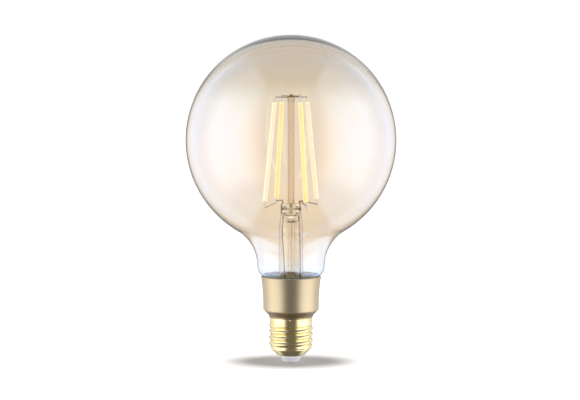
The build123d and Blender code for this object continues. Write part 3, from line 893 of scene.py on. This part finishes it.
def filament_coat(name):
    """Oval silicone coat with rounded ends and slightly uneven sides."""
    azimuth = filament_azimuths[name]
    foot = polar(filament_foot_radius, azimuth, filament_foot_z)
    top = polar(filament_top_radius, azimuth, filament_top_z)
    along = (top - foot).normalized()
    tangent = polar(1.0, azimuth + 90, 0)
    outward = tangent.cross(along)
    length = (top - foot).length
    seed = azimuth / 360.0
    rings = []
    ends = [coat_end_round * (1 - math.cos(a)) for a in np.radians(np.linspace(12, 90, 7))]
    body = list(np.linspace(coat_end_round, length - coat_end_round, 90))
    places = ends[:-1] + body + [length - e for e in ends[:-1]][::-1]
    for reach in places:
        margin = min(reach, length - reach)
        cut = max(coat_end_round - margin, 0.0)
        tuck = coat_end_round - math.sqrt(max(coat_end_round**2 - cut**2, 0.0))
        wobble = 0.02 * math.sin(reach * 1.7 + seed * 40)
        wobble += 0.015 * math.sin(reach * 0.61 + seed * 17)
        wide = tangent * (coat_width / 2 - tuck - 0.035 + wobble)
        deep = outward * (coat_depth / 2 - tuck - 0.035 + wobble)
        centre = foot + along * reach
        rings.append([centre + wide * c + deep * s for c, s in circle(48)])
    slot = "warm_phosphor" if name.startswith("warm") else "cool_phosphor"
    made = skin(name + "_silicone", rings)
    return placed(made, slot, materials[slot], name + "_coat")


def pin_point(name, z):
    """Point on a filament's pin at a height."""
    return polar(strip_radius(z), filament_azimuths[name], z)


def wire(name, radius, route, bends, node):
    """Drawn wire along a route; its ends stop on the pins they are welded to."""
    if bends:
        path = rounded_path(route, bends)
    else:
        path = [Vector(p) for p in line(route[0], route[-1], 12)]
    made = skin(name, wire_rings(path, radius))
    return placed(made, "nickel_wire", materials["nickel_wire"], node)


def wires():
    """Three leads from the driver board through the press, a jumper and two bridges."""
    common = [(-3.0, board_y, lead_foot_z), (-5.2, 0.4, 78.0), (-4.8, 0.0, 88.0), (-4.8, 0.2, 96.8)]
    warm = [(6.0, board_y, lead_foot_z), (5.3, 0.8, 78.0), (4.9, -1.1, 88.0), (4.9, -1.2, 97.0)]
    cool = [(8.4, board_y, lead_foot_z), (4.7, 3.0, 53.0), (4.4, 3.1, 78.0), (4.8, 1.3, 88.0)]
    cool.append((4.8, 1.2, 96.6))
    leads = (
        ("common", common, "warm_filament_left", 95.0),
        ("warm", warm, "warm_filament_right", 94.4),
        ("cool", cool, "cool_filament_right", 93.5),
    )
    for kind, route, filament, z in leads:
        bends = [lead_bend] * (len(route) - 2) + [hook_bend]
        route = route + [pin_point(filament, z)]
        wire(kind + "_lead", lead_radius, route, bends, kind + "_lead_wire")
    jumper = [pin_point("warm_filament_left", 93.9), pin_point("cool_filament_left", 92.8)]
    wire("common_jumper", jumper_radius, jumper, None, "common_jumper_wire")
    for kind, z in (("warm", warm_bridge_z), ("cool", cool_bridge_z)):
        ends = [pin_point(kind + "_filament_left", z), pin_point(kind + "_filament_right", z)]
        wire(kind + "_bridge", bridge_radius, ends, None, kind + "_bridge_wire")


# ---- collar and cap ----------------------------------------------------------------


def collar_line(z, inset):
    """Collar radius at a height on its flare, set inwards."""
    radius = collar_flare_radius + inset
    return collar_radius + collar_flare_radius - math.sqrt(radius**2 - (z - collar_flare_z) ** 2)


def rounded(corner, before, after, radius, steps=6):
    """Arc that rounds a corner of an outline."""
    flat = [(*p, 0.0) for p in (before, corner, after)]
    return [(p.x, p.y) for p in rounded_path(flat, [radius], steps)[1:-1]]


def collar():
    """Painted shell: shoulder, flare, rolled rim, and the sleeve that the cap is staked to."""
    top_z = collar_high.z
    inner = collar_radius - collar_wall
    sleeve_bore = sleeve_radius - sleeve_wall
    corner_z = collar_foot_z + collar_foot_step
    slope_top_z = corner_z + collar_radius - collar_foot_radius
    inner_corner_z = slope_top_z + collar_inner_rise
    inner_step_z = inner_corner_z - (inner - sleeve_bore) + collar_step_rise
    outer_flare = [(collar_line(z, 0), z) for z in np.linspace(collar_flare_z, top_z, 24)]
    inner_flare = [(collar_line(z, collar_wall), z) for z in np.linspace(top_z, collar_flare_z, 24)]
    shoulder = (collar_radius, slope_top_z)
    foot_edge = (collar_foot_radius, collar_foot_z)
    foot_top = (collar_foot_radius, corner_z)
    outer_rim, inner_rim = outer_flare[-1], inner_flare[0]
    outline = joined(
        rounded(foot_edge, (sleeve_radius, collar_foot_z), foot_top, 0.12),
        rounded(foot_top, foot_edge, shoulder, 0.25),
        rounded(shoulder, foot_top, (collar_radius, collar_flare_z), collar_shoulder_round, 8),
        outer_flare[:-1],
        rounded(outer_rim, outer_flare[-2], inner_rim, collar_rim_round),
        rounded(inner_rim, outer_rim, inner_flare[1], collar_rim_round),
        inner_flare[1:],
        [
            (inner, inner_corner_z),
            (inner - (inner_corner_z - inner_step_z), inner_step_z),
            (sleeve_bore, inner_step_z),
            (sleeve_bore, collar_low.z),
            (sleeve_radius, collar_low.z),
            (sleeve_radius, collar_foot_z),
        ],
    )
    made = skin("collar_shell", turned_rings(outline, 192), loop=True, crease=30.0)
    return placed(made, "champagne_shell", materials["champagne_shell"], "collar_housing")


def eased(share):
    """A share that starts and ends with no slope."""
    share = min(max(share, 0.0), 1.0)
    return share * share * (3 - 2 * share)


def thread_ring(z, inset, turns):
    """Ring of the threaded wall: a circle off centre towards the crest."""
    foot = eased((z - bowl_start_z) / (thread_start_z - bowl_start_z))
    top = eased((z - thread_end_z) / thread_run_out)
    mean = (crest_radius + root_radius) / 2
    radius = bowl_radius + foot * (mean - bowl_radius) + top * (skirt_radius - mean) - inset
    throw = (crest_radius - root_radius) / 2 * foot * (1 - top)
    crest = math.pi + 2 * math.pi * (z - crest_left_z) / thread_pitch
    angles = np.linspace(0, 2 * math.pi, turns, endpoint=False) - crest
    reach = throw * np.cos(angles) + np.sqrt(radius**2 - (throw * np.sin(angles)) ** 2)
    return np.column_stack([circle(turns) * reach[:, None], np.full(turns, z)])


def skirt_ring(z, inset, turns):
    """Ring of the plain skirt, with the staking dents pressed in."""
    angles = np.degrees(np.arctan2(*circle(turns).T[::-1]))
    step = 360.0 / stake_count
    offset = (angles / step + stake_turn + 0.5) % 1.0 - 0.5
    across = np.radians(offset * step) * skirt_radius
    depth = stake_depth * np.exp(-(across**2 + (z - stake_z) ** 2) / stake_spread**2)
    reach = skirt_radius - inset - (0.2 if inset else 1.0) * depth
    return np.column_stack([circle(turns) * reach[:, None], np.full(turns, z)])


def shell_wall(inset, turns):
    """Rings of one side of the shell from the tip hole up to the skirt's edge."""
    slope = inset * math.sqrt(2) - bowl_slope_offset
    radius = bowl_radius - inset
    floor = shell_low.z + inset
    lower, upper = (floor - slope, floor), (radius, radius + slope)
    foot = joined(
        line((tip_hole_radius, floor), (lower[0] - 1.0, floor), 4),
        rounded(lower, (tip_hole_radius, floor), upper, bowl_lower_round - inset),
        rounded(upper, lower, (radius, bowl_start_z + 0.2), bowl_upper_round - inset),
    )
    rings = turned_rings(foot, turns)
    skirt_start_z = thread_end_z + thread_run_out
    rings += [thread_ring(z, inset, turns) for z in np.linspace(bowl_start_z, skirt_start_z, 118)]
    rings += [skirt_ring(z, inset, turns) for z in np.linspace(skirt_start_z, shell_high.z, 30)[1:]]
    return rings


def screw_shell():
    """Threaded shell with both of its faces, closed round the tip hole and the skirt's edge."""
    rings = shell_wall(0, shell_turns) + shell_wall(sheet, shell_turns)[::-1]
    made = skin("screw_cap_shell", rings, loop=True, crease=50.0)
    return placed(made, "brass_shell", materials["brass_shell"], "screw_shell")


def base_insulator():
    """Glazed cone round the tip contact, with rounded edges and a flange in the shell."""
    foot = (insulator_foot_radius, insulator_low.z)
    shoulder = (insulator_radius, insulator_low.z + insulator_cone_height)
    seat = (insulator_radius, shell_low.z + sheet)
    flange = (insulator_high.x, seat[1])
    flange_top = (insulator_high.x, insulator_high.z)
    outline = joined(
        line((rivet_radius, foot[1]), (foot[0] - 0.8, foot[1]), 3),
        rounded(foot, (rivet_radius, foot[1]), shoulder, 0.5),
        rounded(shoulder, foot, seat, 0.8),
        [seat, flange],
        rounded(flange_top, flange, (rivet_radius, flange_top[1]), 0.25),
        [(rivet_radius, flange_top[1])],
    )
    made = skin("glazed_insulator", turned_rings(outline, 128), loop=True)
    return placed(made, "pale_insulator", materials["pale_insulator"], "base_insulator")


def centre_contact():
    """Rivet: a worn, slightly domed disc outside and a clinched head inside."""
    edge = contact_high.x
    disc_top = insulator_low.z
    head_z = insulator_high.z
    top = contact_high.z
    radii = np.linspace(0.05, disc_flat_radius, 12)
    dish = [(radius, 0.06 * (1 - (radius / disc_flat_radius) ** 2)) for radius in radii]
    outline = joined(
        dish,
        rounded((edge, 0.0), (disc_flat_radius, 0.0), (edge, disc_top), 0.15),
        [(edge, disc_top), (rivet_radius, disc_top), (rivet_radius, head_z)],
        [(clinch_radius, head_z)],
        rounded((clinch_radius, top), (clinch_radius, head_z), (0.5, top), 0.25),
        [(0.9, top - 0.02), (0.5, top - 0.12), (0.05, top - 0.15)],
    )
    made = skin("tip_contact", turned_rings(outline, 96))
    return placed(made, "contact_metal", materials["contact_metal"], "centre_contact")


# ---- the lamp ----------------------------------------------------------------------

glass_globe()
stem()
exhaust_tube()
support_rod()
for filament_name in filament_azimuths:
    filament_coat(filament_name)
wires()
collar()
screw_shell()
base_insulator()
centre_contact()

slots = {part["node"]: part["material_slot"] for part in frame["record"]["subparts"]}
for node_name, node_object in frame["nodes"].items():
    node_object.data.materials.clear()
    chosen = pin_material if node_name.endswith("_pin") else materials[slots[node_name]]
    node_object.data.materials.append(chosen)


# ---- studio ------------------------------------------------------------------------

floor_radius = 9.0
# what the camera sees, and what shows through more glass
backdrop_glow = 1.02
through_glow = 0.4
# surroundings for gloss and light
panel_glow = 2.2
wall_glow = 1.0
front_shade = 0.15
back_shade = 0.33
rear_shade = 0.95
ground_glow = 0.22
ring_glow = 0.5
cool_tint = (0.50, 1.15, 2.45)
# overhead lamp, with its angular size in degrees
sun_strength = 4.8
sun_size = 17.0


def studio_floor():
    """Large pale disc that the lamp stands on."""
    outline = [(floor_radius / MM * share, -0.02) for share in np.linspace(0.02, 1, 40) ** 2]
    rings = turned_rings(outline, 96)
    made = skin("studio_floor", [*rings, rings[-1] + (0, 0, -20.0)])
    paint, tree, shader = material("studio_floor")
    speckle = noise(tree, 40.0, 3.0)
    feed(
        tree,
        shader,
        Base_Color=blend(tree, speckle, (0.64, 0.62, 0.62), (0.66, 0.64, 0.64)),
        Roughness=ranged(tree, speckle, 0.3, 0.7, 0.6, 0.7),
        Normal=bump(tree, speckle, 0.02),
    )
    made.data.materials.append(paint)
    made.visible_glossy = False
    made.visible_transmission = False


def studio_lamp():
    """A soft lamp overhead, which gives the floor its light and its soft shadow."""
    data = bpy.data.lights.new("overhead", "SUN")
    data.energy = sun_strength
    data.angle = math.radians(sun_size)
    lamp = bpy.data.objects.new("overhead", data)
    lamp.visible_glossy = False
    lamp.visible_transmission = False
    bpy.context.scene.collection.objects.link(lamp)


def side_light(tree, parts, side, below, inner):
    """Tall panels on both sides, paler walls behind, cut off overhead and underfoot."""
    wide = ranged(tree, side, 0.34, 0.80, 0.0, 0.9 * panel_glow, True)
    wide = times(tree, wide, ranged(tree, below, 0.8, 0.5, smooth=True))
    narrow = ranged(tree, side, 0.42, 0.95, 0.0, panel_glow, True)
    panel = add(tree, "Mix", {0: inner, 2: wide, 3: narrow})
    walls = ranged(tree, side, 0.2, 0.55, 0.0, wall_glow, True)
    walls = times(tree, walls, ranged(tree, inner, 0.0, 1.0, 1.0, 1.2))
    behind = ranged(tree, parts["Y"], 0.0, 0.5, smooth=True)
    level = ranged(tree, parts["Z"], 0.98, 0.35, smooth=True)
    across = maths(tree, "ABSOLUTE", parts["X"])
    foot = ranged(tree, maths(tree, "DIVIDE", across, below), 0.36, 0.52, smooth=True)
    return times(tree, add(tree, "Mix", {0: behind, 2: panel, 3: walls}), level, foot)


def rear_light(tree, parts):
    """Dim room that is paler behind the lamp, and palest right behind it and above."""
    behind = ranged(tree, parts["Y"], 0.0, 0.5, smooth=True)
    shade = times(tree, behind, ranged(tree, parts["Z"], -0.4, 0.0))
    shade = ranged(tree, shade, 0.0, 1.0, front_shade, back_shade)
    across = maths(tree, "ABSOLUTE", parts["X"])
    lean = maths(tree, "DIVIDE", across, highest(tree, parts["Z"], 0.001))
    rise = ranged(tree, parts["Y"], 0.45, 0.9, 0.0, rear_shade, True)
    rise = times(tree, rise, ranged(tree, lean, 1.8, 0.5, 0.38, 1.0, True))
    back = ranged(tree, parts["Y"], 0.985, 0.998, 0.0, backdrop_glow, True)
    return highest(tree, shade, rise, back)


def ground_light(tree, below, inner):
    """Pale ground that fades towards straight down, stronger for light inside the glass."""
    ground = ranged(tree, below, 0.15, 0.6, 0.0, ground_glow, True)
    edge = ranged(tree, below, 0.95, 0.8, 0.2, 1.0, True)
    return times(tree, ground, edge, ranged(tree, inner, 0.0, 1.0, 1.0, 3.0))


def ring_light(tree, parts):
    """Faint ring high up behind the lamp."""
    ring = maths(tree, "ABSOLUTE", maths(tree, "SUBTRACT", parts["Y"], 0.66))
    ring = ranged(tree, ring, 0.05, 0.0, 0.0, ring_glow, True)
    return times(tree, ring, ranged(tree, parts["Z"], 0.3, 0.5, smooth=True))


def studio_world():
    """White surroundings for what is seen directly. For gloss and light: side panels, a dim
    room, a pale ground and a ring, with cool panels where the glass mirrors them inside."""
    world = bpy.data.worlds.new("studio")
    world.use_nodes = True
    bpy.context.scene.world = world
    tree = world.node_tree
    tree.nodes.clear()
    parts = add(tree, "SeparateXYZ", {"Vector": add(tree, "TexCoord")}).node.outputs
    below = highest(tree, times(tree, parts["Z"], -1.0), 0.001)
    upright = maths(tree, "POWER", maths(tree, "ABSOLUTE", parts["Z"]), 2.0)
    flat = maths(tree, "SQRT", highest(tree, maths(tree, "SUBTRACT", 1.0, upright), 0.0001))
    side = maths(tree, "DIVIDE", maths(tree, "ABSOLUTE", parts["X"]), flat)
    paths = add(tree, "LightPath").node.outputs
    inner = maths(tree, "GREATER_THAN", paths["Transmission Depth"], 0.5)
    shallow = maths(tree, "LESS_THAN", paths["Transmission Depth"], 4.5)
    mirrored = maths(tree, "GREATER_THAN", paths["Glossy Depth"], 0.5)
    scattered = maths(tree, "GREATER_THAN", paths["Diffuse Depth"], 0.5)
    straight = maths(tree, "SUBTRACT", 1.0, highest(tree, mirrored, scattered))
    refracted = times(tree, straight, paths["Is Transmission Ray"])

    glow = highest(
        tree,
        side_light(tree, parts, side, below, inner),
        rear_light(tree, parts),
        ground_light(tree, below, inner),
    )
    glow = maths(tree, "ADD", glow, ring_light(tree, parts))
    lifted = ranged(tree, parts["Y"], 0.4, 0.96, through_glow, backdrop_glow, True)
    glow = add(tree, "Mix", {0: refracted, 2: glow, 3: highest(tree, glow, lifted)})
    seen = highest(tree, paths["Is Camera Ray"], times(tree, refracted, shallow))
    glow = add(tree, "Mix", {0: seen, 2: glow, 3: backdrop_glow})

    cool = times(
        tree,
        mirrored,
        inner,
        shallow,
        ranged(tree, side, 0.3, 0.6),
        ranged(tree, parts["Y"], 0.95, 0.65, smooth=True),
        ranged(tree, parts["Y"], -0.85, -0.4, smooth=True),
    )
    tint = blend(tree, cool, (1.0, 1.0, 1.0), cool_tint)
    shine = add(tree, "Background", {"Color": tint, "Strength": glow})
    add(tree, "OutputWorld", {"Surface": shine})


# camera, in metres and degrees, and its sensor in mm
camera_distance = 1.0
camera_height_angle = 4.5
aim = Vector((-0.0006, 0.0, 0.0970))
frame_width = 0.3450
sensor_width = 36.0


def studio_camera():
    """Camera a little above the lamp's middle, looking along +Y and slightly down."""
    angle = math.radians(camera_height_angle)
    data = bpy.data.cameras.new("camera")
    data.sensor_width = sensor_width
    data.lens = sensor_width * camera_distance / frame_width
    data.clip_start, data.clip_end = 0.01, 100.0
    camera = bpy.data.objects.new("camera", data)
    bpy.context.scene.collection.objects.link(camera)
    camera.location = aim + Vector((0, -math.cos(angle), math.sin(angle))) * camera_distance
    camera.rotation_mode = "QUATERNION"
    camera.rotation_quaternion = (aim - camera.location).to_track_quat("-Z", "Y")
    bpy.context.scene.camera = camera


studio_floor()
studio_lamp()
studio_world()
studio_camera()

scene = bpy.context.scene
scene.view_settings.view_transform = "Standard"
scene.cycles.max_bounces = 32
scene.cycles.transmission_bounces = 28
scene.cycles.glossy_bounces = 8
scene.cycles.diffuse_bounces = 4
scene.cycles.caustics_refractive = True
scene.cycles.caustics_reflective = True
